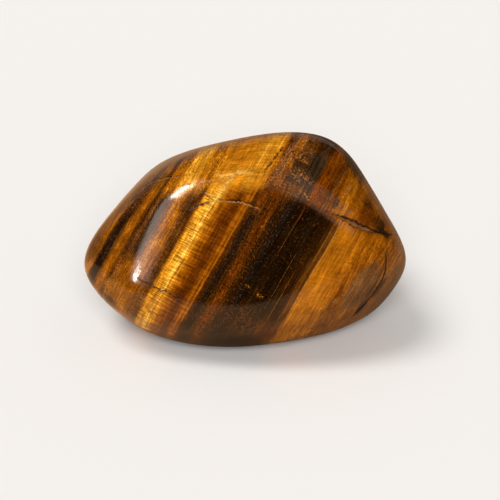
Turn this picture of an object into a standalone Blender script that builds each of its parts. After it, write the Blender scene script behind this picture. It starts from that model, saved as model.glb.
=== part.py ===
"""Tumbled tiger's eye pebble.

One solid stone, worn smooth in a tumbler. Its form is a ball on which a set of broad, flat
worn faces meet in soft rounded edges. Two natural partings stand open in the polished skin,
one across the right shoulder and one down the right end, and a small flat underneath is
what the stone rests on.

Metres, +Z up. The origin is below the middle of the stone, on the surface that it rests on.
Directions are given from the heart of the stone: azimuth 0 is straight forward (-Y), +90 is
to the right (+X), and elevation 90 is straight up.
"""
import bmesh
import bpy
import numpy as np

MM = 0.001
OBJECT_NAME = "tigers_eye_pebble"

# Form: worn faces as (azimuth, elevation, distance from the heart in mm).
WORN_FACES = {
    "front": (-8, 18, 9.8),
    "front left": (-41, 23, 12.9),
    "front right": (28, 1, 16.5),
    "top left": (-17, 52, 12.0),
    "top right": (34, 51, 13.2),
    "left shoulder": (-103, 42, 13.1),
    "right shoulder": (96, 33, 15.0),
    "right cheek": (53, -33, 15.0),
    "lower front": (-19, -41, 13.1),
    "lower right": (18, -45, 12.3),
    "lower left": (-72, -43, 16.0),
    "crown": (172, 62, 12.7),
    "back left top": (-139, 65, 11.5),
    "back": (171, 21, 13.7),
    "back low": (190, -28, 13.8),
    "back left": (-120, -8, 16.8),
    "back right": (126, -6, 16.6),
    "base": (0, -90, 11.2),
}
EDGE_CRISPNESS = 11          # higher gives flatter faces and tighter edges between them
REST_FLAT_RISE = 0.06 * MM   # how far up the lowest point is worn off to make the flat
BALL_SUBDIVISIONS = 5        # 5120 triangles, each about 1 mm wide

# Open partings: stations as (azimuth, elevation, width in mm, depth in mm).
PARTINGS = {
    "shoulder parting": [
        (49, 29, 0.06, 0.08),
        (52, 26, 0.30, 0.30),
        (54, 24, 0.55, 0.50),
        (56, 21, 0.70, 0.55),
        (58, 19, 0.60, 0.50),
        (60, 17, 0.35, 0.35),
        (63, 15, 0.20, 0.25),
        (68, 12, 0.15, 0.20),
        (81, 6, 0.06, 0.08),
    ],
    "end parting": [
        (61, 9, 0.06, 0.08),
        (61, 3, 0.14, 0.20),
        (63, -5, 0.22, 0.30),
        (64, -11, 0.34, 0.45),
        (65, -15, 0.44, 0.55),
        (65, -21, 0.50, 0.55),
        (66, -25, 0.40, 0.40),
        (66, -28, 0.06, 0.08),
    ],
}
STEPS_PER_STATION = 4
CUTTER_RISE = 0.35 * MM      # how far a cutter stands proud of the skin

STONE_COLOR = (0.30, 0.125, 0.025, 1.0)
STONE_ROUGHNESS = 0.12


def direction(azimuth, elevation):
    """Unit vectors for azimuths and elevations in degrees."""
    azimuth = np.radians(azimuth)
    elevation = np.radians(elevation)
    return np.stack([
        np.sin(azimuth) * np.cos(elevation),
        -np.cos(azimuth) * np.cos(elevation),
        np.sin(elevation) + 0 * azimuth,
    ], axis=-1)


def worn_surface(directions):
    """Points of the skin, seen from the heart, along unit vectors.

    Each worn face would stop a ray at its distance over the cosine to its normal. The
    reciprocals of those lengths are blended with a high power mean, so the nearest face
    wins, and two faces that are equally near meet in a soft edge.
    """
    faces = np.array(list(WORN_FACES.values()), dtype=float)
    normals = direction(faces[:, 0], faces[:, 1])
    closeness = np.maximum(directions @ normals.T, 0) / (faces[:, 2] * MM)
    reach = (closeness ** EDGE_CRISPNESS).sum(axis=-1) ** (-1 / EDGE_CRISPNESS)
    return directions * reach[..., None]


def clear_scene():
    for leftover in list(bpy.data.objects):
        bpy.data.objects.remove(leftover, do_unlink=True)


def new_collection(name):
    collection = bpy.data.collections.new(name)
    bpy.context.scene.collection.children.link(collection)
    return collection


def add_object(name, mesh_builder, collection):
    """Turns a bmesh into an object of its own in the given collection."""
    mesh = bpy.data.meshes.new(name)
    mesh_builder.to_mesh(mesh)
    mesh_builder.free()
    made = bpy.data.objects.new(name, mesh)
    collection.objects.link(made)
    return made


def stone_material():
    material = bpy.data.materials.new("polished tiger's eye")
    material.use_nodes = True
    shader = material.node_tree.nodes["Principled BSDF"]
    shader.inputs["Base Color"].default_value = STONE_COLOR
    shader.inputs["Roughness"].default_value = STONE_ROUGHNESS
    shader.inputs["Metallic"].default_value = 0.0
    material.diffuse_color = STONE_COLOR
    return material


def make_pebble(collection):
    """The worn stone, standing on its flat, and the place of its heart."""
    ball = bmesh.new()
    bmesh.ops.create_icosphere(ball, subdivisions=BALL_SUBDIVISIONS, radius=1.0)
    directions = np.array([vertex.co for vertex in ball.verts])
    directions /= np.linalg.norm(directions, axis=1)[:, None]
    points = worn_surface(directions)

    flat_height = points[:, 2].min() + REST_FLAT_RISE
    points[:, 2] = np.maximum(points[:, 2], flat_height)
    low = points.min(axis=0)
    high = points.max(axis=0)
    heart = np.array([-(low[0] + high[0]) / 2, -(low[1] + high[1]) / 2, -low[2]])
    for vertex, place in zip(ball.verts, points + heart):
        vertex.co = place

    pebble = add_object("pebble", ball, collection)
    pebble.data.materials.append(stone_material())
    pebble.data.shade_smooth()
    return pebble, heart


def parting_stations(stations):
    """Directions, widths and depths at even steps between the named stations."""
    stations = np.array(stations, dtype=float)
    marks = np.arange(len(stations))
    steps = np.linspace(0, len(stations) - 1, (len(stations) - 1) * STEPS_PER_STATION + 1)
    azimuth, elevation, width, depth = (np.interp(steps, marks, column) for column in stations.T)
    return direction(azimuth, elevation), width * MM, depth * MM


def make_parting_cutter(name, stations, heart, collection):
    """A blade along the parting: a V that is widest above the skin and pointed below it."""
    directions, width, depth = parting_stations(stations)
    skin = worn_surface(directions)
    along = np.gradient(skin, axis=0)
    across = np.cross(along, directions)
    across /= np.linalg.norm(across, axis=1)[:, None]
    half_width = (width / 2 * (1 + CUTTER_RISE / depth))[:, None]
    rim = skin + directions * CUTTER_RISE
    corners = np.stack([
        rim - across * half_width,
        rim + across * half_width,
        skin - directions * depth[:, None],
    ], axis=1) + heart

    blade = bmesh.new()
    rings = [[blade.verts.new(corner) for corner in ring] for ring in corners]
    for ring, following in zip(rings, rings[1:]):
        for corner in range(3):
            beside = (corner + 1) % 3
            blade.faces.new([ring[corner], ring[beside], following[beside], following[corner]])
    blade.faces.new(rings[0])
    blade.faces.new(rings[-1])
    bmesh.ops.triangulate(blade, faces=blade.faces[:])
    bmesh.ops.recalc_face_normals(blade, faces=blade.faces[:])

    cutter = add_object(name, blade, collection)
    cutter.hide_render = True
    cutter.display_type = 'WIRE'
    return cutter


def open_parting(pebble, cutter):
    cut = pebble.modifiers.new(cutter.name, 'BOOLEAN')
    cut.operation = 'DIFFERENCE'
    cut.solver = 'EXACT'
    cut.object = cutter


def build():
    clear_scene()
    stone_collection = new_collection(OBJECT_NAME)
    cutter_collection = new_collection("cutters")
    pebble, heart = make_pebble(stone_collection)
    for name, stations in PARTINGS.items():
        cutter = make_parting_cutter(name, stations, heart, cutter_collection)
        open_parting(pebble, cutter)


build()
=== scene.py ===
"""Tumbled tiger's eye pebble: the finish of the stone, its floor, its lights and its camera.

Metres, +Z up, and the stone stands on the floor at z = 0. One dense surface replaces the
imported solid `pebble`. Directions are given from the heart of the stone: azimuth 0 is straight
forward (-Y), +90 is to the right (+X), and elevation 90 is straight up.

The pattern lives in the grain frame of the stone, in millimetres from its heart: x runs
across the layers, y along their edges as they show on the main face, and z out of that face.
"""

import bpy
import numpy as np
from mathutils import Matrix, Vector


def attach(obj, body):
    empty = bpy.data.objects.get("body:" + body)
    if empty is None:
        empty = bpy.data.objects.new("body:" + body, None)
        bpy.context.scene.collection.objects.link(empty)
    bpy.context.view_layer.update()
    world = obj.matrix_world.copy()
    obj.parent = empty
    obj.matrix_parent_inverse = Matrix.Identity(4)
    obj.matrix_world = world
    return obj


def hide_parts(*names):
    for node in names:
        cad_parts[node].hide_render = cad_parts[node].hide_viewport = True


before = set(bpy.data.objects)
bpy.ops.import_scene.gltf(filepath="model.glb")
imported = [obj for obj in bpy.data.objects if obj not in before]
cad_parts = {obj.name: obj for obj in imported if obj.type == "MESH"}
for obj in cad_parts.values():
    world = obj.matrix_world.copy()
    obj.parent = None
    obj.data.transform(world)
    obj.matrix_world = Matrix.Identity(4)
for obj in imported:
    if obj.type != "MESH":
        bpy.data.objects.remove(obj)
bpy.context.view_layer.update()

MM = 0.001

# ---- form ----

# Worn faces: (azimuth, elevation, distance from the heart in mm).
WORN_FACES = {
    "front": (-8, 18, 9.8),
    "front left": (-41, 23, 12.9),
    "front right": (28, 1, 16.5),
    "top left": (-17, 52, 12),
    "top right": (34, 51, 13.2),
    "left shoulder": (-103, 42, 13.1),
    "right shoulder": (96, 33, 15),
    "right cheek": (53, -33, 15),
    "lower front": (-19, -41, 13.1),
    "lower right": (18, -45, 12.3),
    "lower left": (-72, -43, 16),
    "crown": (172, 62, 12.7),
    "back left top": (-139, 65, 11.5),
    "back": (171, 21, 13.7),
    "back low": (190, -28, 13.8),
    "back left": (-120, -8, 16.8),
    "back right": (126, -6, 16.6),
    "base": (0, -90, 11.2),
}
EDGE_CRISPNESS = 11  # higher gives flatter faces and tighter edges between them
REST_FLAT_RISE = 0.06  # how far up the lowest point is worn off to make the flat, in mm
REST_MARGIN = 0.5  # polishing leaves no waves this near to the flat, in mm
POLISH_WAVES = (4.5, 5.5, 7, 9)  # lengths of the slight waves that it leaves, in mm
POLISH_WAVE_HEIGHT = 0.02
GRID_CELLS = 126  # along each side of each of the six grids
STEPS_PER_STATION = 24  # points of a line between one named station and the next

# Open partings: stations as (azimuth, elevation, width in mm, depth in mm).
PARTINGS = {
    "shoulder parting": [
        (49, 29, 0.06, 0.08), (52, 26, 0.3, 0.3), (54, 24, 0.55, 0.5), (56, 21, 0.7, 0.55),
        (58, 19, 0.6, 0.5), (60, 17, 0.35, 0.35), (63, 15, 0.2, 0.25), (68, 12, 0.15, 0.2),
        (81, 6, 0.06, 0.08),
    ],
    "end parting": [
        (61, 9, 0.06, 0.08), (61, 3, 0.14, 0.2), (63, -5, 0.22, 0.3), (64, -11, 0.34, 0.45),
        (65, -15, 0.44, 0.55), (65, -21, 0.5, 0.55), (66, -25, 0.4, 0.4), (66, -28, 0.06, 0.08),
    ],
}
TEAR_LENGTHS = (0.4, 0.55, 0.7, 0.9, 1.3)  # of the bites in a parting's rims, in mm
TEAR = 0.55  # how ragged the rims are, in half widths
RIM_SHARPNESS = 0.8  # below 1 makes the rims steeper than the bottom
GATHER_REACH = 0.9  # within this of a parting, in mm, the grid is drawn to it
GATHER_PULL = 0.72  # by this much of the distance
FAR_ASIDE = 9.0  # stands for any place that no parting is near

# Healed and open hairlines, and lines of painted sheen: stations as (azimuth, elevation, strength
# from 0 to 1).
PALE_SEAMS = {
    "main seam": [
        (-27, 45.8, 0), (-22, 46.4, 0.8), (-16.7, 46.6, 0.9), (-11.4, 47.1, 0.9), (-6, 46.8, 1),
        (-1.8, 46.5, 0.9), (3.5, 45, 1), (9, 42.7, 0.9), (12.5, 41.2, 0),
    ],
    "left seam": [
        (-84, 19, 0), (-81, 28, 0.9), (-79, 32, 1), (-75.5, 37, 1), (-73, 40, 1), (-67, 44, 1),
        (-62, 47, 1), (-56, 51, 0),
    ],
    "right seam": [(68, 30, 0), (73, 24, 0.5), (75, 17, 0.7), (73, 10, 0)],
    "back seam": [
        (148, 2, 0), (156, 10, 0.8), (166, 16, 1), (177, 20, 0.7), (190, 21, 0.9), (200, 18, 0),
    ],
}
DARK_HAIRLINES = {
    "long hairline": [
        (-56, -3, 0), (-54, -4, 0.5), (-48, -6, 1), (-42, -8, 1), (-38, -10, 0.9),
        (-34, -11, 0.6), (-29, -12, 0),
    ],
    "short hairline": [(-50, -15.5, 0), (-48, -17, 0.9), (-45, -18.5, 0.8), (-41, -20.5, 0)],
    "lower fork": [(-43, 36, 0), (-40, 38, 0.5), (-37, 40, 0.9), (-31, 43.5, 1), (-23, 47, 0)],
    "upper fork": [(-42, 49, 0), (-37, 48.5, 0.8), (-31, 47.2, 0.9), (-25, 46.5, 0)],
    "crown hairline": [
        (62, 69, 0), (58, 68.4, 0.9), (51, 67.7, 1), (41, 66.5, 1), (31, 64, 1), (23, 61.8, 0.8),
        (17, 58, 0),
    ],
    "low hairline": [(33, -33, 0), (40, -33, 0.6), (51, -31, 0.9), (61, -27, 0.9), (65, -24, 0)],
    "cheek hairline": [(66, 12, 0), (63, 9, 0.6), (60, 4, 0.9), (59, -1, 0.7), (60, -5, 0)],
    "back hairline": [
        (-162, -14, 0), (-155, -6, 0.7), (-147, 2, 1), (-140, 11, 0.6), (-135, 18, 0),
    ],
    "end hairline": [(98, -20, 0), (104, -12, 0.8), (112, -6, 0.9), (122, -3, 0)],
}
# Flashes: painted highlights, bright lines of silky sheen along the ridge.
PAINTED_SHEEN_FLASHES = {
    "ridge flash": [
        (-33, 59, 0), (-28.6, 59.5, 0.8), (-23.7, 59.8, 0.9), (-17.8, 61, 1), (-12.3, 62.1, 1),
        (-6.9, 62.8, 1), (-2, 62.8, 0.8), (4, 62.5, 0.5), (11, 61.5, 0),
    ],
    "inner flash": [
        (-26, 43.5, 0), (-23.8, 47, 0.7), (-21.1, 51.2, 0.9), (-18.2, 55.3, 1), (-14.1, 59.1, 1),
        (-9, 61.8, 0),
    ],
}
HAIRLINE_REACH = 1.1  # how far from a hairline its marks can show, in mm

# ---- grain frame, and how layers and fibres run in it ----

ACROSS_LAYERS = Vector((0.866, -0.211, -0.453)).normalized()
ALONG_LAYERS = Vector((0.5, 0.366, 0.785)).normalized()
OUT_OF_FACE = ACROSS_LAYERS.cross(ALONG_LAYERS).normalized()

FIBRE_LEAN = 0.0083  # how fast the fibres tilt away from the across direction
FIBRE_UPRIGHT_AT = -9  # mm across, where they don't tilt
CROWN_SLANT = 0.6  # how far the crown's fibres climb, per mm across
LEFT_TURN = 0.2  # how far the leftmost layers lean to the right, per mm along
LEFT_TURN_FROM = -4.5  # mm along
LEFT_TURN_SPAN = (-9.5, -12.5)  # mm across, from no lean to all of it
LAYER_BEND = 0.5  # how far the layers sway, in mm
BEND_PACE = (0.1, 0.13, 0.13)  # and how often per mm
LAYER_FRAY = 0.17  # how far their edges fray, in mm
FRAY_PACE = (2.6, 1.5, 1.5)  # and how often per mm
CROWN_SLOPE = (31, 42)  # slopes in degrees over which the skin takes its upward tones, a painted sheen
CROWN_LATER = (1, 5, 0, 5)  # from 1 to 5 mm across, that rises by up to 5 degrees

# ---- colours and pattern ----

MAIN_FACE_LIGHT = 1.5  # how bright a white main face would show
TONES = {  # as screen values from 0 to 255
    "night": (25, 12, 3), "slate": (27, 21, 14), "soot": (36, 20, 8),
    "tar": (42, 20, 3), "peat": (62, 32, 5), "cocoa": (80, 43, 10),
    "bark": (70, 41, 18), "umber": (98, 53, 12), "hazel": (112, 64, 26),
    "russet": (86, 38, 3), "rust": (110, 52, 5), "toffee": (124, 60, 3),
    "amber": (148, 80, 8), "honey": (174, 100, 14), "brass": (186, 110, 16),
    "gold": (198, 120, 18), "corn": (224, 148, 34), "straw": (248, 186, 72),
    "flare": (255, 212, 112), "tan": (140, 88, 42), "sand": (172, 120, 68),
    "flake": (118, 76, 38), "ochre": (168, 102, 38), "iron": (56, 40, 24),
    "olive": (58, 38, 14),
}

# The stack of layers: (mm across, tone where the skin looks forward, tone where it looks up,
# silk from 0 to 1, grain from 0 to 1). The two tones are the layer's colour with a painted sheen:
# which one shows depends on how the skin faces, as if its leaning fibres caught the light.
LAYERS = [
    (-17, "umber", "umber", 0.2, 0.3),
    (-15, "umber", "amber", 0.2, 0.3),
    (-14.4, "amber", "honey", 0.3, 0.2),
    (-14, "honey", "amber", 0.4, 0.2),
    (-13.7, "honey", "hazel", 0.3, 0.2),
    (-13.4, "honey", "amber", 0.3, 0.2),
    (-13.25, "umber", "amber", 0, 0.8),
    (-13.05, "soot", "umber", 0, 1),
    (-12.4, "soot", "hazel", 0, 1),
    (-12.15, "umber", "amber", 0.3, 0.4),
    (-11.8, "amber", "honey", 0.4, 0.3),
    (-11.3, "amber", "amber", 0.4, 0.3),
    (-11, "umber", "umber", 0.2, 0.5),
    (-10.8, "cocoa", "cocoa", 0.1, 0.7),
    (-10.4, "hazel", "amber", 0.1, 0.8),
    (-10, "bark", "honey", 0.1, 0.7),
    (-9.4, "peat", "honey", 0.1, 0.5),
    (-9, "hazel", "corn", 0.2, 0.5),
    (-8.5, "honey", "corn", 0.3, 0.4),
    (-8.05, "honey", "corn", 0.3, 0.3),
    (-7.6, "amber", "gold", 0.3, 0.3),
    (-7.3, "hazel", "honey", 0.2, 0.6),
    (-6.9, "umber", "honey", 0.1, 0.7),
    (-6.5, "cocoa", "gold", 0.1, 0.7),
    (-6.32, "umber", "gold", 0.3, 0.5),
    (-6.15, "honey", "brass", 0.9, 0),
    (-5.9, "corn", "brass", 1, 0),
    (-5.4, "corn", "brass", 1, 0),
    (-5, "straw", "brass", 1, 0),
    (-4.8, "gold", "brass", 1, 0),
    (-4.6, "corn", "brass", 1, 0),
    (-4.35, "honey", "brass", 0.9, 0),
    (-4.05, "amber", "gold", 0.8, 0),
    (-3.6, "toffee", "gold", 0.7, 0.1),
    (-3, "russet", "corn", 0.7, 0.1),
    (-2.6, "russet", "corn", 0.7, 0.1),
    (-2.3, "toffee", "gold", 0.7, 0.1),
    (-2.05, "amber", "corn", 0.6, 0.1),
    (-1.85, "toffee", "gold", 0.6, 0.1),
    (-1.62, "amber", "corn", 0.6, 0.1),
    (-1.45, "russet", "gold", 0.5, 0.2),
    (-1.1, "peat", "amber", 0.2, 0.6),
    (-0.85, "soot", "hazel", 0, 1),
    (-0.4, "soot", "hazel", 0, 1),
    (-0.25, "peat", "tan", 0.1, 0.9),
    (0.1, "peat", "toffee", 0.2, 0.9),
    (0.3, "russet", "amber", 0.2, 0.9),
    (0.5, "russet", "hazel", 0.2, 0.9),
    (0.9, "russet", "umber", 0.2, 0.9),
    (1.2, "peat", "umber", 0.1, 0.9),
    (1.8, "tar", "umber", 0.1, 0.9),
    (2.15, "soot", "cocoa", 0, 0.9),
    (2.45, "slate", "bark", 0, 0.8),
    (3, "night", "bark", 0, 0.6),
    (3.5, "night", "bark", 0, 0.5),
    (3.7, "tar", "russet", 0, 0.5),
    (4, "night", "toffee", 0, 0.5),
    (4.4, "night", "toffee", 0, 0.5),
    (5.2, "night", "rust", 0, 0.5),
    (5.5, "night", "umber", 0, 0.5),
    (5.8, "night", "umber", 0, 0.5),
    (6.2, "tar", "toffee", 0.1, 0.5),
    (6.6, "tar", "amber", 0.1, 0.4),
    (6.9, "tar", "amber", 0.1, 0.4),
    (7.2, "peat", "honey", 0.2, 0.3),
    (7.5, "umber", "honey", 0.2, 0.3),
    (7.85, "cocoa", "honey", 0.2, 0.2),
    (8.1, "amber", "amber", 0.6, 0),
    (8.4, "honey", "amber", 0.7, 0),
    (9.2, "honey", "amber", 0.8, 0),
    (9.5, "honey", "rust", 0.8, 0),
    (10.1, "honey", "rust", 0.8, 0),
    (10.3, "amber", "rust", 0.5, 0.1),
    (10.6, "honey", "rust", 0.5, 0.2),
    (11, "honey", "toffee", 0.4, 0.3),
    # From here on the layers lie on the right end, which the lights reach less: their forward tones
    # are painted lighter to make up for it.
    (11.4, "amber", "umber", 0.3, 0.3),
    (12, "amber", "cocoa", 0.3, 0.4),
    (13, "amber", "bark", 0.3, 0.4),
    (14.5, "amber", "bark", 0.3, 0.4),
    (15.5, "amber", "umber", 0.3, 0.4),
    (17, "umber", "umber", 0.2, 0.3),
]
CHANNEL_PULL = (1.0, 1.15, 1.35)  # how strongly red, green and blue follow a change of shade
RAMP_STOPS = 30  # a colour ramp holds 32 at most

# Shades within the layers: (what it follows, size across, along and out of the face in mm,
# detail, roughness, stops where the layer is silky, dull or grainy, stops everywhere).
SHADES = {
    "fine fibres": ("front fibre", (3, 0.12, 0.16), 1, 0.5, 3, 0.8),
    "broad fibres": ("front fibre", (5, 0.5, 0.6), 2, 0.6, 1.6, 0.8),
    "fine crown fibres": ("crown fibre", (1.8, 0.3, 0.13), 1, 0.5, 1.7, 0.5),
    "broad crown fibres": ("crown fibre", (3, 1, 0.5), 3, 0.65, 1.6, 0.8),
    "columns": ("column", (0.15, 1.8, 1.8), 2, 0.6, 3, 0),
    "fine sheets": ("sheet", (0.11, 2, 2), 3, 0.65, 2.8, 2.2),
    "broad sheets": ("sheet", (0.5, 9, 9), 2, 0.5, 1.6, 1),
    "clouds": ("sheet", (1.6, 3, 3), 3, 0.5, 1.4, 1.2),
    "granules": ("granule", (0.1, 0.2, 0.2), 2, 0.7, 7, 1),
}
FIBRES_CALM = (-4.5, 8, 1, 0.35)  # over these mm across, fibres fade to 0.35 of their strength
COLUMNS_CALM = (0.7, 0.3)  # 0.7 of the columns' strength fades as they do, and 0.3 stays
COLUMNS_FORWARD = (0.8, 0.2)  # on the crown, only 0.2 of it stays
DARK_FIBRE = ((4.5, 0.09, 0.14), 1, 0.5)  # size in mm, detail and roughness
DARK_FIBRE_EDGE = (-0.17, -0.27)  # the noise at which one sets in, and is whole
DARK_FIBRE_STOPS = 1.9

# Scattered grains: (tone, size in mm, cover, shift, strength in grainy layers, in all layers).
SPECKS = [
    ("rust", (0.2, 0.3, 0.3), 0.5, (0, 0, 0), 0.7, 0.14),
    ("night", (0.18, 0.55, 0.55), 0.55, (7.3, 2.1, 4.4), 0.8, 0.16),
    ("honey", (0.12, 0.2, 0.2), 0.34, (3.1, 8.2, 5.7), 0.9, 0.18),
    ("sand", (0.1, 0.15, 0.15), 0.3, (5.9, 1.2, 2.2), 0.6, 0.12),
    ("umber", (0.1, 0.13, 0.13), 0.34, (1.7, 6.6, 3.9), 0, 0.55),
    ("straw", (0.1, 0.11, 0.11), 0.18, (8.8, 4.9, 7.7), 0.2, 0.5),
]

# Marks beside hairlines, and the painted highlights of the flashes:
# (name, offset and half width in mm, tone, cover, depth in mm).
HAIRLINE_MARKS = [
    ("seam", -0.16, 0.1, "soot", 0.85, 0),
    ("seam", 0, 0.06, "sand", 0.95, 0.01),
    # The flash marks: a painted highlight and a broader painted glow around it.
    ("flash", 0, 0.16, "flare", 0.75, 0),
    ("flash", 0, 0.5, "straw", 0.28, 0),
    ("hairline", 0, 0.085, "night", 1, 0.04),
    ("hairline", 0.15, 0.08, "rust", 0.5, 0),
]

RAGGED = dict(scale=1.4, detail=4, roughness=0.65)  # the noise that wears a patch's edge
PATCH_MOTTLE = 0.7  # how much of the layers' shades shows in a patch

# Patches: (tone, middle in mm across, along and out of the face, reach in mm, softness of the
# edge, raggedness, cover, and what the patch crumbles into if it does).
PATCHES = [
    ("flake", (13.5, 1.7, 8), (1.7, 3.8, 4), 0.25, 0.5, 0.85),
    ("rust", (11.7, 0.2, 9.6), (0.35, 1.1, 1), 0.6, 0.8, 0.7),
    ("russet", (11.55, 0.9, 9.8), (0.3, 0.8, 0.8), 0.6, 0.8, 0.7),
    ("toffee", (10.9, 1.4, 10), (1.2, 1.7, 1.8), 0.7, 0.7, 0.5),
    ("sand", (11.8, -0.9, 9.1), (0.55, 0.4, 0.8), 0.6, 1.4, 1, "granules"),
    ("soot", (12.5, 8.15, 7.8), (1.5, 0.55, 1.5), 0.5, 1, 0.8),
    ("olive", (11.9, 9, 7.6), (1.1, 1, 1.8), 0.6, 0.8, 0.7),
    ("olive", (10.4, 10.2, 7), (2.2, 0.8, 1.6), 0.9, 0.4, 0.55),
    ("soot", (14.7, 2.2, 6.2), (0.16, 1.9, 3), 0.5, 0.5, 0.8),
    ("slate", (14.9, 0, 3), (0.52, 1.5, 3.5), 0.4, 0.5, 0.95),
    ("soot", (15.5, 2.9, 4.6), (0.26, 1.7, 3.5), 0.4, 0.7, 0.9),
    ("bark", (12.4, -3.8, 4.2), (0.8, 0.22, 1.2), 0.4, 1.2, 0.7),
    ("iron", (6.5, 8.3, 9.5), (0.4, 1, 0.9), 0.4, 1.2, 0.8),
    ("sand", (7, 10.4, 8), (0.35, 1.7, 1.6), 0.6, 1.4, 0.7, "granules"),
    ("iron", (1.9, 10.3, 8.6), (1.75, 2.6, 2.4), 0.1, 0.6, 0.7),
    ("iron", (2.95, 9.3, 9), (0.65, 1.4, 1.4), 0.15, 0.9, 0.6),
    ("iron", (1.3, 8.1, 9.6), (1, 0.4, 0.8), 0.2, 0.9, 0.7),
    ("iron", (2.8, 11.5, 7.6), (0.9, 1.1, 1.3), 0.15, 0.9, 0.6),
    ("ochre", (1, 10.7, 8.2), (1.1, 0.6, 1.2), 0.4, 1, 0.9, "crumbs"),
    ("ochre", (1.7, 8.95, 9.2), (1.9, 0.85, 1.3), 0.4, 1, 0.7, "crumbs"),
    ("ochre", (0.9, 11.9, 7.4), (1.1, 0.9, 1.2), 0.4, 1, 0.6, "crumbs"),
    ("ochre", (3.9, 7.3, 9.6), (2.6, 0.5, 1.2), 0.5, 1.2, 0.5, "crumbs"),
    ("rust", (-0.5, 4.6, 10.2), (0.75, 2.2, 1.8), 0.6, 0.9, 0.8),
    ("rust", (0.3, 6.2, 10.2), (1.1, 1, 1.4), 0.7, 0.9, 0.7),
    ("ochre", (-0.3, 7.2, 9.8), (0.9, 1.1, 1.5), 0.8, 0.9, 0.5),
    ("russet", (6.9, -7.6, 7), (1.5, 2.6, 4), 0.8, 0.8, 0.7),
    ("rust", (4.4, -7.6, 7.5), (4.2, 3, 5), 0.9, 0.5, 0.28, "crumbs"),
    ("ochre", (4, -7.8, 7.5), (4.2, 3, 5), 0.9, 0.8, 0.14, "granules"),
    ("night", (1.5, 3.4, 10.4), (0.5, 2.5, 1.6), 0.7, 0.8, 0.5),
    ("amber", (-3.7, 3, 9.8), (1.1, 2.2, 1.6), 0.6, 0.6, 0.6),
    ("corn", (-5.85, 2.7, 9.3), (0.4, 2.2, 1.2), 0.6, 0.6, 0.7),
    ("bark", (-5.9, 0.9, 9.4), (0.8, 0.3, 0.8), 0.7, 1.4, 0.8, "crumbs"),
    ("bark", (-7.3, 0.4, 9), (1, 1.8, 1.6), 0.6, 0.8, 0.65),
    ("cocoa", (-11.1, 0.8, 6), (0.9, 2.2, 2.5), 0.6, 0.8, 0.7),
    ("hazel", (-13.9, -9.2, 3), (0.9, 2.4, 3), 0.5, 0.7, 0.75),
    ("honey", (-9.2, -12, 5.3), (2.9, 1.6, 3), 0.5, 0.9, 0.6),
    ("amber", (-9.3, -9.6, 7), (3.2, 2.9, 3.5), 0.8, 0.7, 0.8),
    ("umber", (-7.3, -12.2, 6), (1.3, 1.6, 2.5), 0.7, 0.7, 0.7),
    ("honey", (-5.4, -10.8, 7), (1.1, 3.4, 3.5), 0.8, 0.7, 0.75),
    ("honey", (2.75, -4.25, 9.4), (0.5, 0.25, 0.5), 0.6, 1.4, 0.9, "granules"),
    ("honey", (4.4, -4.5, 9.4), (0.6, 0.35, 0.5), 0.6, 1.4, 0.9, "granules"),
]
CRUMBLES = {  # size in mm and cover
    "granules": ((0.13, 0.17, 0.17), 0.8),
    "crumbs": ((0.21, 0.26, 0.26), 0.85),
}

# Thin bright layers: (tone, strength, mm across, half width in mm, lowest and highest mm along).
THREADS = [
    ("gold", 0.3, -8.35, 0.04, -10, -2),
    ("gold", 0.6, -7.6, 0.05, -12, 1),
    ("gold", 0.7, -4.5, 0.06, -13, 8),
    ("gold", 0.4, -2.05, 0.05, -12, 8),
    ("gold", 0.6, -1.62, 0.05, -12, 8),
    ("honey", 0.36, 3.82, 0.035, 0, 7),
    ("honey", 0.38, 5.57, 0.03, -6, 2),
    ("gold", 0.35, 6.4, 0.04, -8, 0),
    ("gold", 0.45, 7.5, 0.04, 1, 7),
    ("flare", 0.34, 8.08, 0.04, -5, 7),
    ("gold", 0.6, 10.02, 0.05, -4, 7),
    ("gold", 0.35, 10.75, 0.05, -2, 7),
]
BREAKS = ((0.3, 0.25, 0.25), 2, 0.6)  # size in mm, detail and roughness of the gaps in them
BREAKS_EDGE = (-0.12, 0.06, 0.25, 1)  # a thread keeps 0.25 of its strength in a gap

# The skin and the partings in it.
POLISH = 0.04  # roughness of the polished skin
TORN_ROUGHNESS = 0.9  # and of the torn stone in a parting
IN_PARTING = (0, 0.12)  # the parts of its depth over which a parting's colour, painted shade and bare stone, comes in
ROUGH_PARTING = (0.02, 0.3)  # and those over which its roughness does
SPECULAR_LEVEL = 0.4
STONE_IOR = 1.5
PITS = ((0.25, 0.3, 0.3), 3, 0.7)  # size in mm, detail and roughness
PIT_DEPTH = 0.006  # mm
TORN = ((0.35, 0.16, 0.16), 3, 0.65)  # size in mm, detail and roughness of the torn grain
TORN_SHIFT = 1.6  # how far it moves the edge of the bare stone, in half widths
TORN_STOPS = 3  # and how strongly it shades it
BARE_MIDDLE = (0.45, 0.8, 1, 0)  # half widths from the middle, from all bare to none
BARE_SPAN = (11.2, 11.8, 1, 0)  # mm across, from all bare to none

# ---- camera and studio ----

IMAGE_PX = 500
CAMERA_ELEVATION = 25
CAMERA_DISTANCE = 230 * MM
FOCAL_PX = 2045
SENSOR = 36.0  # mm
CLIP_RANGE = (0.01, 20)  # metres
HEART_PX = (245, 240)  # where the heart of the stone falls in the frame

FLOOR_SPAN = 6.0
FLOOR_COLOR = (0.80, 0.778, 0.757)
FLOOR_PAINTED_REFLECTION = (0.78, 0.47, 0.26)  # the floor as the polish mirrors it: a painted reflection, warmer than the floor, as if the stone lit it
REFLECTION_SHADOW_NEAR = (5 * MM, 18 * MM, 0.15)  # painted shadow near the stone: from here to here, it rises from 0.15 to its whole
REFLECTION_SHADE_BACK = (10 * MM, 80 * MM, 0.35)  # painted shade towards the back: it dims to 0.35
REFLECTION_SHADOW_RIGHT = (0 * MM, 18 * MM, 0.33)  # and painted shadow towards the right: it dims to 0.33
SKY_RADIANCE = 0.26
SKY_COLOR = (1.0, 0.95, 0.89, 1.0)
CARD_COLOR = (1.0, 0.93, 0.85, 1.0)
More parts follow.
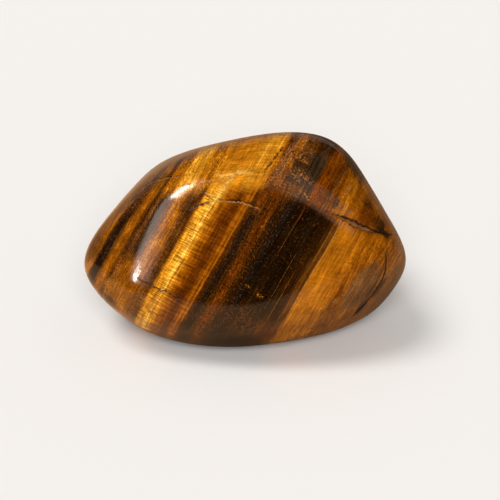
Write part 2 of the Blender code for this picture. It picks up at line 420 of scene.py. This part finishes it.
# Soft lights: (azimuth, elevation, how broad it is in degrees, strength).
SOFT_LIGHTS = {"side light": (-55, 63, 26, 1.5), "front light": (0, 30, 30, 2.9)}


# ---- making the stone ----

def direction(azimuth, elevation):
    """Unit vectors for azimuths and elevations in degrees."""
    azimuth = np.radians(azimuth)
    elevation = np.radians(elevation)
    return np.stack([
        np.sin(azimuth) * np.cos(elevation),
        -np.cos(azimuth) * np.cos(elevation),
        np.sin(elevation) + 0 * azimuth,
    ], axis=-1)


def unit(vectors):
    return vectors / np.linalg.norm(vectors, axis=-1, keepdims=True)


def nearness(directions):
    """How near each worn face is along unit vectors: the cosine to its normal over its distance.

    Gives the faces' normals and distances too.
    """
    azimuths, elevations, distances = np.array(list(WORN_FACES.values()), dtype=float).T
    normals = direction(azimuths, elevations)
    return np.maximum(directions @ normals.T, 0) / distances, normals, distances


def worn_surface(directions):
    """Points of the skin in mm from the heart, along unit vectors.

    Each worn face would stop a ray at the reciprocal of its nearness. The nearnesses are
    blended with a high power mean, so the nearest face wins, and two faces that are equally
    near meet in a soft edge.
    """
    near = nearness(directions)[0]
    reach = (near ** EDGE_CRISPNESS).sum(axis=-1) ** (-1 / EDGE_CRISPNESS)
    return directions * reach[..., None]


def worn_normals(directions):
    """Unit normals of the skin: the worn faces' normals, each weighted by how much it wins."""
    near, normals, distances = nearness(directions)
    weight = near ** (EDGE_CRISPNESS - 1) / distances
    return unit(weight @ normals)


def rest_height():
    """Height in mm from the heart of the flat underneath: a little above the lowest point."""
    azimuths = np.linspace(-180, 180, 721)[:, None]  # every half degree
    elevations = np.linspace(-90, -60, 241)[None, :]
    return worn_surface(direction(azimuths, elevations))[..., 2].min() + REST_FLAT_RISE


def folded_grids(cells):
    """Six square grids folded into a cube: lattice points, and each cell's four corners.

    The two parameters of a grid count cells from 0 to `cells`. Points that two grids share
    are one point, so the seams are closed, and each cell's corners run counterclockwise
    seen from outside.
    """
    steps = np.arange(cells)
    first, second = (side.ravel() for side in np.meshgrid(steps, steps, indexing="ij"))
    corner_shift = [(0, 0), (1, 0), (1, 1), (0, 1)]
    quads = []
    for axis in range(3):
        for end in (0, cells):
            shifts = corner_shift if end else corner_shift[::-1]
            quad = np.empty((first.size, 4, 3), dtype=np.int64)
            quad[:, :, axis] = end
            for corner, (one, two) in enumerate(shifts):
                quad[:, corner, (axis + 1) % 3] = first + one
                quad[:, corner, (axis + 2) % 3] = second + two
            quads.append(quad)
    corners = np.concatenate(quads).reshape(-1, 3)
    lattice, index = np.unique(corners, axis=0, return_inverse=True)
    return lattice, index.reshape(-1, 4)


def blown_round(lattice, cells):
    """Lattice points of the cube as unit vectors.

    A count is turned into an angle from -45 to 45 degrees, and its tangent is the place on
    the cube's side, which spaces the lines evenly over the ball.
    """
    return unit(np.tan((lattice / cells * 2 - 1) * np.pi / 4))


def skin_line(stations):
    """A line on the skin through stations of (azimuth, elevation, values).

    Gives its points in mm from the heart, unit vectors sideways from it, which are square to
    the line and to the sight of it from the heart, and each value, at even steps.
    """
    stations = np.array(stations, dtype=float)
    marks = np.arange(len(stations))
    steps = np.linspace(0, len(stations) - 1, (len(stations) - 1) * STEPS_PER_STATION + 1)
    azimuth, elevation, *values = (np.interp(steps, marks, column) for column in stations.T)
    directions = direction(azimuth, elevation)
    points = worn_surface(directions)
    return points, unit(np.cross(np.gradient(points, axis=0), directions)), *values


def measured_from(line, points):
    """Distance to the line's nearest point, signed sideways distance and that point's index."""
    line_points, sideways = line[:2]
    apart = ((points ** 2).sum(1)[:, None] + (line_points ** 2).sum(1)[None, :]
             - 2 * points @ line_points.T)
    nearest = apart.argmin(axis=1)
    gap = points - line_points[nearest]
    return np.linalg.norm(gap, axis=1), (gap * sideways[nearest]).sum(axis=1), nearest


def hairline_places(hairlines, points):
    """Signed sideways distance in mm to the nearest hairline, and how strong it is there.

    Its strength holds to half of HAIRLINE_REACH and is gone at the whole of it.
    """
    aside = np.full(len(points), HAIRLINE_REACH)
    strength = np.zeros(len(points))
    closest = np.full(len(points), np.inf)
    for stations in hairlines.values():
        line = skin_line(stations)
        distance, sidestep, nearest = measured_from(line, points)
        near = distance < closest
        fade = np.clip(2 - 2 * distance / HAIRLINE_REACH, 0, 1)
        aside = np.where(near, sidestep, aside)
        strength = np.where(near, line[2][nearest] * fade, strength)
        closest = np.minimum(closest, distance)
    return aside, strength


def gather_to(lines, directions):
    """Slides the grid sideways towards each line, so that its lines run densest there.

    A point moves by GATHER_PULL times its sideways distance, fading as a bell curve of the
    distance over GATHER_REACH.
    """
    for line in lines:
        points = worn_surface(directions)
        distance, sidestep, nearest = measured_from(line, points)
        shift = GATHER_PULL * sidestep * np.exp(-(distance / GATHER_REACH) ** 2)
        directions = unit(points - line[1][nearest] * shift[:, None])
    return directions


def waves(points, lengths, seed):
    """Smooth irregular values from -1 to 1: sines of the given lengths in random directions."""
    chance = np.random.default_rng(seed)
    total = np.zeros(len(points))
    for length in lengths:
        heading = unit(chance.normal(size=3))
        total += np.sin(points @ heading * (2 * np.pi / length) + chance.uniform(0, 2 * np.pi))
    return total / len(lengths)


def open_partings(lines, skin, normals):
    """The skin sunk along the partings, how far each point is in, and how far beside one.

    `across` is a point's distance over the torn half width. A point sinks by the parting's
    depth times 1 - across to the power RIM_SHARPNESS.
    """
    opened = np.zeros(len(skin))
    beside = np.full(len(skin), FAR_ASIDE)
    closest = np.full(len(skin), np.inf)
    for line in lines:
        distance, sidestep, nearest = measured_from(line, skin)
        width, depth = line[2][nearest], line[3][nearest]
        half_width = width / 2 * (1 + TEAR * waves(skin, TEAR_LENGTHS, seed=4))
        across = distance / half_width
        cut = np.clip(1 - across, 0, 1) ** RIM_SHARPNESS
        opened = np.maximum(opened, cut)
        skin = skin - normals * (cut * depth)[:, None]
        beside = np.where(distance < closest, sidestep / half_width, beside)
        closest = np.minimum(closest, distance)
    return skin, opened, beside


def make_stone():
    """The dense skin of the stone, with its partings open, and the heart's place in metres.

    Polishing took up to twice POLISH_WAVE_HEIGHT off it, in waves, except near the flat.
    """
    lattice, cells = folded_grids(GRID_CELLS)
    lines = [skin_line(stations) for stations in PARTINGS.values()]
    directions = gather_to(lines, blown_round(lattice, GRID_CELLS))
    normals = worn_normals(directions)
    skin, opened, beside = open_partings(lines, worn_surface(directions), normals)

    flat_height = rest_height()
    rests = skin[:, 2] < flat_height + REST_MARGIN
    swell = waves(skin, POLISH_WAVES, seed=11) * POLISH_WAVE_HEIGHT
    skin = skin + normals * np.where(rests, 0, swell - POLISH_WAVE_HEIGHT)[:, None]
    skin[:, 2] = np.maximum(skin[:, 2], flat_height)
    low, high = skin.min(axis=0), skin.max(axis=0)
    heart = np.array([-(low[0] + high[0]) / 2, -(low[1] + high[1]) / 2, -flat_height])

    stone = add_mesh("stone", (skin + heart) * MM, cells)
    lean = np.degrees(np.arcsin(normals[:, 2]))
    values = {"lean": lean, "opened": opened, "beside": beside}
    # Seams, hairlines and the lines of painted sheen.
    for name, hairlines in (("seam", PALE_SEAMS), ("hairline", DARK_HAIRLINES),
                            ("flash", PAINTED_SHEEN_FLASHES)):
        values[name], values[name + " strength"] = hairline_places(hairlines, skin)
    for name, value in values.items():
        add_value(stone, name, value)
    return stone, Vector(heart * MM)


def add_mesh(name, points, quads):
    """A smooth-shaded mesh object from an array of points and an array of quads."""
    mesh = bpy.data.meshes.new(name)
    mesh.from_pydata(points.tolist(), [], quads.tolist())
    mesh.shade_smooth()
    return add_object(name, mesh)


def add_object(name, data):
    made = bpy.data.objects.new(name, data)
    bpy.context.scene.collection.objects.link(made)
    return made


def add_value(piece, name, values):
    """Stores one number for each point of the piece's mesh."""
    layer = piece.data.attributes.new(name, 'FLOAT', 'POINT')
    layer.data.foreach_set("value", values.astype(np.float32))


# ---- tools for materials ----

class Graph:
    """Adds nodes to a node tree. A value may be a number, a colour or another node's output."""

    def __init__(self, tree):
        self.tree = tree

    def node(self, kind, **settings):
        made = self.tree.nodes.new(kind)
        for name, value in settings.items():
            setattr(made, name, value)
        return made

    def feed(self, socket, value):
        if isinstance(value, bpy.types.NodeSocket):
            self.tree.links.new(value, socket)
        else:
            socket.default_value = value

    def feed_all(self, sockets, values):
        for socket, value in zip(sockets, values):
            self.feed(socket, value)

    def math(self, operation, *values):
        made = self.node("ShaderNodeMath", operation=operation)
        self.feed_all(made.inputs, values)
        return made.outputs[0]

    def plus(self, first, second):
        return self.math('ADD', first, second)

    def minus(self, first, second):
        return self.math('SUBTRACT', first, second)

    def times(self, product, *factors):
        for factor in factors:
            product = self.math('MULTIPLY', product, factor)
        return product

    def scaled(self, value, factor, shift):
        """The value times the factor, plus the shift."""
        return self.math('MULTIPLY_ADD', value, factor, shift)

    def vector(self, operation, *values):
        made = self.node("ShaderNodeVectorMath", operation=operation)
        self.feed_all(made.inputs, values)
        return made.outputs["Value" if operation == 'LENGTH' else "Vector"]

    def parts(self, whole, kind="XYZ"):
        made = self.node("ShaderNodeSeparate" + kind)
        self.feed(made.inputs[0], whole)
        return made.outputs

    def joined(self, *parts, kind="XYZ"):
        made = self.node("ShaderNodeCombine" + kind)
        self.feed_all(made.inputs, parts)
        return made.outputs[0]

    def ramp(self, value, low, high, low_value=0.0, high_value=1.0, smooth=True):
        """The value carried from one range to another, held at both ends."""
        made = self.node("ShaderNodeMapRange", clamp=True,
                         interpolation_type='SMOOTHSTEP' if smooth else 'LINEAR')
        self.feed_all(made.inputs, (value, low, high, low_value, high_value))
        return made.outputs[0]

    def mix(self, factor, first, second, blend='MIX'):
        made = self.node("ShaderNodeMix", data_type='RGBA', blend_type=blend, clamp_factor=True)
        sockets = (made.inputs[0], made.inputs[6], made.inputs[7])
        self.feed_all(sockets, (factor, first, second))
        return made.outputs[2]

    def noise(self, place, **settings):
        """Noise from 0 to 1."""
        made = self.node("ShaderNodeTexNoise")
        self.feed(made.inputs["Vector"], place)
        for name, value in {"scale": 1.0, **settings}.items():
            self.feed(made.inputs[name.capitalize()], value)
        return made.outputs["Fac"]

    def swing(self, place, **settings):
        """Noise from -0.5 to 0.5."""
        return self.minus(self.noise(place, **settings), 0.5)

    def attribute(self, name):
        return self.node("ShaderNodeAttribute", attribute_name=name).outputs["Fac"]

    def group(self, pattern, *values):
        """The outputs of the pattern's node group, given values in the order of its inputs."""
        tree = bpy.data.node_groups[pattern.__name__]
        made = self.node("ShaderNodeGroup", node_tree=tree)
        self.feed_all(made.inputs, values)
        return made.outputs

    def overlaid(self, color, tone, *masks):
        """The colour with a tone laid over it, as strongly as all the masks together say."""
        return self.mix(self.times(*masks), color, tone_color(tone))


def new_material(name):
    """A material, what adds nodes to it, and the inputs of its shader."""
    material = bpy.data.materials.new(name)
    material.use_nodes = True
    tree = material.node_tree
    return material, Graph(tree), tree.nodes["Principled BSDF"].inputs


# ---- patterns ----

def tone_color(tone):
    """What a tone's screen values from 0 to 255 come to as reflected light, with full cover."""
    parts = np.array(TONES[tone]) / 255
    linear = np.where(parts <= 0.04045, parts / 12.92, ((parts + 0.055) / 1.055) ** 2.4)
    return (*(linear / MAIN_FACE_LIGHT), 1.0)


def layer_ramp(graph, across, stops):
    """A colour that follows (mm across, colour) stops, on as many ramps as they need."""
    for start in range(0, len(stops) - 1, RAMP_STOPS):
        part = stops[start:start + RAMP_STOPS + 1]
        low, high = part[0][0], part[-1][0]
        ramp = graph.node("ShaderNodeValToRGB")
        elements = ramp.color_ramp.elements
        while len(elements) < len(part):
            elements.new(1.0)
        for element, (place, color) in zip(elements, part):
            element.position = (place - low) / (high - low)
            element.color = color
        graph.feed(ramp.inputs[0], graph.ramp(across, low, high, smooth=False))
        color = ramp.outputs[0]
        if start:
            color = graph.mix(graph.math('GREATER_THAN', across, low), blended, color)
        blended = color
    return blended


def layer_stack(graph, across, facing_up):
    """The stack of layers: each one's colour with a painted sheen on both kinds of face, its silk
    and its grain.
    """
    forward = [(place, tone_color(tone)) for place, tone, _, _, _ in LAYERS]
    upward = [(place, tone_color(tone)) for place, _, tone, _, _ in LAYERS]
    character = [(place, (silk, grain, 0, 1)) for place, _, _, silk, grain in LAYERS]
    color = graph.mix(facing_up, layer_ramp(graph, across, forward),
                      layer_ramp(graph, across, upward))
    silk, grain, _ = graph.parts(layer_ramp(graph, across, character), kind="Color")
    return color, silk, grain


def sway(graph, place, bend, fray):
    """Where a place lies across the layers once they bend gently and their edges fray."""
    across = graph.parts(place)[0]
    bends = graph.swing(graph.vector('MULTIPLY', place, BEND_PACE), detail=1)
    frays = graph.swing(graph.vector('MULTIPLY', place, FRAY_PACE), detail=4, roughness=0.65)
    bent = graph.plus(across, graph.times(bends, bend))
    return graph.plus(bent, graph.times(frays, fray))


def grain_noise(graph, place, size, detail, roughness):
    """Noise from -0.5 to 0.5 in cells of the given size along x, y and z, in mm."""
    cell = graph.vector('DIVIDE', place, size)
    return graph.swing(cell, detail=detail, roughness=roughness)


def exposure(graph, color, stops):
    """Makes a colour brighter by so many stops. Dark shades turn redder, bright ones yellower."""
    gains = [graph.math('POWER', 2.0, graph.times(stops, pull)) for pull in CHANNEL_PULL]
    return graph.mix(1.0, color, graph.joined(*gains, kind="Color"), 'MULTIPLY')


def speck_mask(graph, place, size, cover):
    """Scattered granules of the given size in mm: 1 in a granule and 0 between them.

    They are where the noise is above 0.8 less 0.35 times the cover, with a soft edge of 0.07.
    """
    value = graph.noise(graph.vector('DIVIDE', place, size), detail=2, roughness=0.6,
                        distortion=0.4)
    edge = graph.minus(0.8, graph.times(cover, 0.35))
    return graph.ramp(value, edge, graph.plus(edge, 0.07))


def patch_mask(graph, place, middle, reach, edge, wear):
    """A soft-edged oval patch: 1 inside, 0 outside. `wear` moves its edge in, in parts of it."""
    gap = graph.vector('SUBTRACT', place, middle)
    far = graph.vector('LENGTH', graph.vector('DIVIDE', gap, reach))
    worn = graph.plus(far, wear)
    return graph.ramp(worn, graph.minus(1.0, edge), 1.0, 1.0, 0.0)


def thread_mask(graph, across, along, position, half_width, lowest, highest):
    """One thin layer: 1 on its middle line, 0 by 1.5 half widths, faded over 1.5 mm at its ends."""
    away = graph.math('ABSOLUTE', graph.minus(across, position))
    line = graph.ramp(graph.math('DIVIDE', away, half_width), 0.2, 1.5, 1.0, 0.0)
    low_end = graph.ramp(along, lowest, graph.plus(lowest, 1.5))
    high_end = graph.ramp(along, graph.minus(highest, 1.5), highest, 1.0, 0.0)
    return graph.times(line, low_end, high_end)


def hairline_mask(graph, aside, place, half_width, offset):
    """A line along the zero of a signed distance in mm, broken into dashes.

    It wanders by up to 0.35 mm, and it is 1 within 0.3 and 0 by 1.4 half widths.
    """
    wander = graph.swing(place, scale=2.2, detail=4, roughness=0.7)
    wandering = graph.plus(aside, graph.times(wander, 0.7))
    away = graph.math('ABSOLUTE', graph.minus(wandering, offset))
    line = graph.ramp(graph.math('DIVIDE', away, half_width), 0.3, 1.4, 1.0, 0.0)
    dashes = graph.ramp(graph.noise(place, scale=2.3, detail=2), 0.36, 0.5, 0.25, 1.0)
    return graph.times(line, dashes)


# Node groups: (pattern, inputs in its order, outputs).
GROUPS = [
    (layer_stack, "Across, Facing up", "Color, Silk, Grain"),
    (sway, "Place, Bend, Fray", "Across"),
    (grain_noise, "Place, Size, Detail, Roughness", "Value"),
    (exposure, "Color, Stops", "Color"),
    (speck_mask, "Place, Size, Cover", "Mask"),
    (patch_mask, "Place, Middle, Reach, Edge, Wear", "Mask"),
    (thread_mask, "Across, Along, Position, Half width, Lowest, Highest", "Mask"),
    (hairline_mask, "Aside, Place, Half width, Offset", "Mask"),
]
VECTORS = ("Place", "Size", "Middle", "Reach")  # `Color` is a colour, and the rest are numbers


def make_group(pattern, inputs, outputs):
    """A node group named as the pattern, which puts out what the pattern works out."""
    tree = bpy.data.node_groups.new(pattern.__name__, 'ShaderNodeTree')
    for labels, side in ((inputs, 'INPUT'), (outputs, 'OUTPUT')):
        for label in labels.split(", "):
            kind = "Vector" if label in VECTORS else "Color" if label == "Color" else "Float"
            tree.interface.new_socket(label, in_out=side, socket_type='NodeSocket' + kind)
    graph = Graph(tree)
    given = graph.node("NodeGroupInput").outputs
    results = pattern(graph, *(given[label] for label in inputs.split(", ")))
    if not isinstance(results, tuple):
        results = (results,)
    graph.feed_all(graph.node("NodeGroupOutput").inputs, results)


# ---- the stone's material ----

def grain_place(graph, heart):
    """The place in the grain frame, in mm from the heart."""
    grain_axes = Matrix((ACROSS_LAYERS, ALONG_LAYERS, OUT_OF_FACE)).transposed()
    mapping = graph.node("ShaderNodeMapping", vector_type='TEXTURE')
    graph.feed(mapping.inputs["Vector"], graph.node("ShaderNodeTexCoord").outputs["Object"])
    mapping.inputs["Location"].default_value = heart
    mapping.inputs["Rotation"].default_value = grain_axes.to_euler()
    mapping.inputs["Scale"].default_value = (MM, MM, MM)
    return mapping.outputs[0]


def shade_stops(graph, place, silk, grain, facing_up):
    """How many stops brighter each spot is: fibres, sheets, clouds and granules added up.

    Each shade is its noise times what it follows times where it shows. Fibres run across
    the layers: on the main face they lean more towards the right end, as the square of the
    way from FIBRE_UPRIGHT_AT, and on the crown they climb evenly.
    """
    straight_across, along, out_of_face = graph.parts(place)
    dull = graph.minus(1.0, silk)
    off = graph.minus(straight_across, FIBRE_UPRIGHT_AT)
    climb = graph.times(off, off, FIBRE_LEAN)
    fibre_place = graph.joined(straight_across, graph.minus(along, climb), out_of_face)
    slant = graph.times(straight_across, CROWN_SLANT)
    crown_place = graph.joined(straight_across, graph.minus(along, slant), out_of_face)
    forward = graph.minus(1.0, facing_up)
    calmer = graph.ramp(straight_across, *FIBRES_CALM)
    follows = {
        "front fibre": (fibre_place, silk, graph.times(forward, calmer)),
        "crown fibre": (crown_place, silk, facing_up),
        "column": (place, graph.times(silk, graph.scaled(calmer, *COLUMNS_CALM)),
                   graph.scaled(forward, *COLUMNS_FORWARD)),
        "sheet": (place, dull, 1.0),
        "granule": (place, grain, 1.0),
    }
    stops = 0.0
    for kind, size, detail, roughness, shades, shared in SHADES.values():
        where, amount, shows = follows[kind]
        noise = graph.group(grain_noise, where, size, detail, roughness)[0]
        weight = graph.times(graph.scaled(amount, shades, shared), shows)
        stops = graph.plus(stops, graph.times(noise, weight))
    dark_noise = graph.group(grain_noise, fibre_place, *DARK_FIBRE)[0]
    dark_fibre = graph.ramp(dark_noise, *DARK_FIBRE_EDGE)
    return graph.scaled(graph.times(dark_fibre, silk), -DARK_FIBRE_STOPS, stops)


def with_patches(graph, color, place, stops):
    """Flakes, chips and stains in the skin, shaded a little as the layers are."""
    ragged_noise = graph.swing(place, **RAGGED)
    mottle = graph.times(stops, PATCH_MOTTLE)
    crumbled = {name: graph.group(speck_mask, place, *crumb)[0]
                for name, crumb in CRUMBLES.items()}
    for tone, middle, reach, edge, ragged, cover, *crumbles in PATCHES:
        wear = graph.times(ragged_noise, ragged)
        mask = graph.group(patch_mask, place, middle, reach, edge, wear)[0]
        mask = graph.times(mask, *(crumbled[crumble] for crumble in crumbles))
        shaded = graph.group(exposure, tone_color(tone), mottle)[0]
        color = graph.mix(graph.times(mask, cover), color, shaded)
    return color


def with_parting_shade(graph, color, place, opened):
    """Torn stone in a parting: dark with painted shade, and pale where its middle lies bare."""
    beside = graph.attribute("beside")
    torn = graph.group(grain_noise, place, *TORN)[0]
    off_line = graph.scaled(torn, TORN_SHIFT, graph.math('ABSOLUTE', beside))
    bare = graph.times(graph.ramp(off_line, *BARE_MIDDLE),
                       graph.ramp(graph.parts(place)[0], *BARE_SPAN))
    # The dark soot tone inside is painted shade in the open crack.
    inside = graph.mix(bare, tone_color("soot"), tone_color("tan"))
    inside = graph.group(exposure, inside, graph.times(torn, TORN_STOPS))[0]
    return graph.mix(graph.ramp(opened, *IN_PARTING), color, inside)


def stone_material(heart):
    """Polished tiger's eye: silky layers under a clear, glossy skin."""
    material, graph, shader = new_material("polished tiger's eye")
    place = grain_place(graph, heart)
    straight_across, along, out_of_face = graph.parts(place)

    # The leftmost layers lean to the right as they climb.
    turned_in = graph.ramp(straight_across, *LEFT_TURN_SPAN)
    above = graph.math('MAXIMUM', graph.minus(along, LEFT_TURN_FROM), 0.0)
    turn = graph.times(above, LEFT_TURN, turned_in)
    turned_place = graph.joined(graph.minus(straight_across, turn), along, out_of_face)
    across = graph.group(sway, turned_place, LAYER_BEND, LAYER_FRAY)[0]

    # Where the skin faces up, the layers take their upward tones, a painted sheen.
    lean = graph.attribute("lean")
    later = graph.ramp(straight_across, *CROWN_LATER)
    facing_up = graph.ramp(graph.minus(lean, later), *CROWN_SLOPE)
    color, silk, grain = graph.group(layer_stack, across, facing_up)
    stops = shade_stops(graph, place, silk, grain, facing_up)
    color = graph.group(exposure, color, stops)[0]

    broken = graph.ramp(graph.group(grain_noise, place, *BREAKS)[0], *BREAKS_EDGE)
    for tone, strength, *thread in THREADS:
        mask = graph.group(thread_mask, across, along, *thread)[0]
        color = graph.overlaid(color, tone, mask, strength, broken)

    # Granules: rusty and pale ones in dark layers, sooty ones in brown layers.
    for tone, size, cover, shift, strength, shared in SPECKS:
        mask = graph.group(speck_mask, graph.vector('ADD', place, shift), size, cover)[0]
        color = graph.overlaid(color, tone, mask, graph.scaled(grain, strength, shared))

    color = with_patches(graph, color, place, stops)

    # Hairlines: healed seams show pale with a dark edge, and open ones dark. The flashes are
    # painted highlights of the silky sheen.
    height = graph.times(graph.group(grain_noise, place, *PITS)[0], PIT_DEPTH)
    for name, offset, half_width, tone, cover, depth in HAIRLINE_MARKS:
        aside = graph.attribute(name)
        strength = graph.attribute(name + " strength")
        mask = graph.group(hairline_mask, aside, place, half_width, offset)[0]
        mask = graph.times(mask, strength)
        if name == "flash":
            mask = graph.times(mask, broken)
        color = graph.overlaid(color, tone, mask, cover)
        height = graph.scaled(mask, -depth, height)

    # The partings take painted shade inside.
    opened = graph.attribute("opened")
    color = with_parting_shade(graph, color, place, opened)
    bump = graph.node("ShaderNodeBump")
    bump.inputs["Distance"].default_value = MM
    graph.feed(bump.inputs["Height"], height)

    graph.feed(shader["Normal"], bump.outputs[0])
    graph.feed(shader["Base Color"], color)
    graph.feed(shader["Roughness"], graph.ramp(opened, *ROUGH_PARTING, POLISH, TORN_ROUGHNESS))
    shader["Specular IOR Level"].default_value = SPECULAR_LEVEL
    shader["IOR"].default_value = STONE_IOR
    return material


# ---- the camera and the studio ----

def make_camera(heart):
    """A long lens that looks down on the main face, aimed beside the heart to frame the stone."""
    elevation = np.radians(CAMERA_ELEVATION)
    back = Vector((0, -np.cos(elevation), np.sin(elevation)))
    up = Vector((0, np.sin(elevation), np.cos(elevation)))
    metres_per_px = CAMERA_DISTANCE / FOCAL_PX
    to_right = (IMAGE_PX / 2 - HEART_PX[0]) * metres_per_px
    to_top = (HEART_PX[1] - IMAGE_PX / 2) * metres_per_px
    target = heart + Vector((to_right, 0, 0)) + up * to_top
    lens = bpy.data.cameras.new("camera")
    lens.sensor_width = SENSOR
    lens.lens = SENSOR * FOCAL_PX / IMAGE_PX
    lens.clip_start, lens.clip_end = CLIP_RANGE
    camera = add_object("camera", lens)
    camera.location = target + back * CAMERA_DISTANCE
    camera.rotation_euler = back.to_track_quat('Z', 'Y').to_euler()
    bpy.context.scene.camera = camera


def make_floor():
    """Pale paper. The polish mirrors it as a painted reflection: warmer than it is, as if the stone
    lit it, with painted shade near the stone, towards the back and towards the right.
    """
    half = FLOOR_SPAN / 2
    corners = np.array([(-half, -half, 0), (half, -half, 0), (half, half, 0), (-half, half, 0)])
    floor = add_mesh("floor", corners, np.array([[0, 1, 2, 3]]))
    material, graph, shader = new_material("floor paper")
    # Only glossy rays see the painted reflection colour and its painted shade.
    mirrored = graph.node("ShaderNodeLightPath").outputs["Is Glossy Ray"]
    spot = graph.node("ShaderNodeTexCoord").outputs["Object"]
    near, near_end, near_dim = REFLECTION_SHADOW_NEAR
    glow = graph.ramp(graph.vector('LENGTH', spot), near, near_end, near_dim, 1.0)
    for side, (start, end, dim) in zip(graph.parts(spot), (REFLECTION_SHADOW_RIGHT, REFLECTION_SHADE_BACK)):
        glow = graph.times(glow, graph.ramp(side, start, end, 1.0, dim))
    glow = graph.vector('MULTIPLY', FLOOR_PAINTED_REFLECTION, glow)
    graph.feed(shader["Base Color"], graph.mix(mirrored, (*FLOOR_COLOR, 1), glow))
    shader["Roughness"].default_value = 1.0
    shader["Specular IOR Level"].default_value = 0.0
    floor.data.materials.append(material)


def make_soft_light(name, heart, azimuth, elevation, breadth, strength):
    """A broad light from far away, which the polish doesn't mirror."""
    light = bpy.data.lights.new(name, 'SUN')
    light.angle = np.radians(breadth)
    light.energy = strength
    lamp = add_object(name, light)
    towards = Vector(direction(azimuth, elevation))
    lamp.location = heart + towards
    lamp.rotation_euler = towards.to_track_quat('Z', 'Y').to_euler()
    lamp.visible_glossy = False


def upright(azimuths, elevations, distance):
    """Corners of a card that fills these azimuths and elevations, as seen from the heart."""
    left, right = azimuths
    low, high = elevations
    sights = [(left, low), (right, low), (right, high), (left, high)]
    return [direction(*sight) * distance for sight in sights]


# Cards: (corners in metres from the heart, radiance, where its fading starts and ends).
CARDS = {
    "overhead card": ([(0.49, -0.40, 0.6), (-0.16, -0.46, 0.6), (-0.05, -0.20, 0.6),
                       (0.60, 0.14, 0.6)], 0.54, 0.6, 1.0),
    "tall strip": (upright((-62, -38), (8, 56), 0.8), 4.2, 0.3, 1.0),
    "upper lamp": (upright((-58, -45), (36, 50), 0.7), 36, 0.45, 1.0),
    "lower lamp": (upright((-58.5, -54.5), (9.1, 10.1), 0.7), 150, 2, 3),
    "backdrop": ([(-1.2, 1.0, 0), (0.5, 1.0, 0), (0.5, 1.0, 0.8), (-1.2, 1.0, 0.8)], 0.2, 2, 3),
}


def make_card(name, heart, corners, radiance, fade_start, fade_end):
    """A glowing card that shows only as a reflection in the polish.

    Along its first side it glows evenly at first, and then fades from `fade_start` to
    `fade_end`, as parts of that side. From 2 to 3 it doesn't fade.
    """
    card = add_mesh(name, np.array(corners) + np.array(heart), np.array([[0, 1, 2, 3]]))
    sides = card.data.uv_layers.new(name="card")
    sides.data.foreach_set("uv", [0, 0, 1, 0, 1, 1, 0, 1])
    material, graph, _ = new_material(name)
    material.node_tree.nodes.clear()
    glow = graph.node("ShaderNodeEmission")
    glow.inputs["Color"].default_value = CARD_COLOR
    side = graph.parts(graph.node("ShaderNodeTexCoord").outputs["UV"])[0]
    graph.feed(glow.inputs["Strength"], graph.ramp(side, fade_start, fade_end, radiance, 0.0))
    graph.feed(graph.node("ShaderNodeOutputMaterial").inputs["Surface"], glow.outputs[0])
    card.data.materials.append(material)
    for seen_by in ("camera", "diffuse", "transmission", "shadow"):
        setattr(card, "visible_" + seen_by, False)


def light_studio(heart):
    """A dim sky that the polish doesn't mirror, the soft lights and the cards."""
    scene = bpy.context.scene
    scene.view_settings.view_transform = 'Standard'
    world = bpy.data.worlds.new("studio")
    scene.world = world
    world.use_nodes = True
    background = world.node_tree.nodes["Background"]
    background.inputs["Color"].default_value = SKY_COLOR
    background.inputs["Strength"].default_value = SKY_RADIANCE
    world.cycles_visibility.glossy = False
    for name, light in SOFT_LIGHTS.items():
        make_soft_light(name, heart, *light)
    for name, card in CARDS.items():
        make_card(name, heart, *card)


def main():
    stone, heart = make_stone()
    for group in GROUPS:
        make_group(*group)
    stone.data.materials.append(stone_material(heart))
    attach(stone, "root")
    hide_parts("pebble")

    make_camera(heart)
    make_floor()
    light_studio(heart)


main()
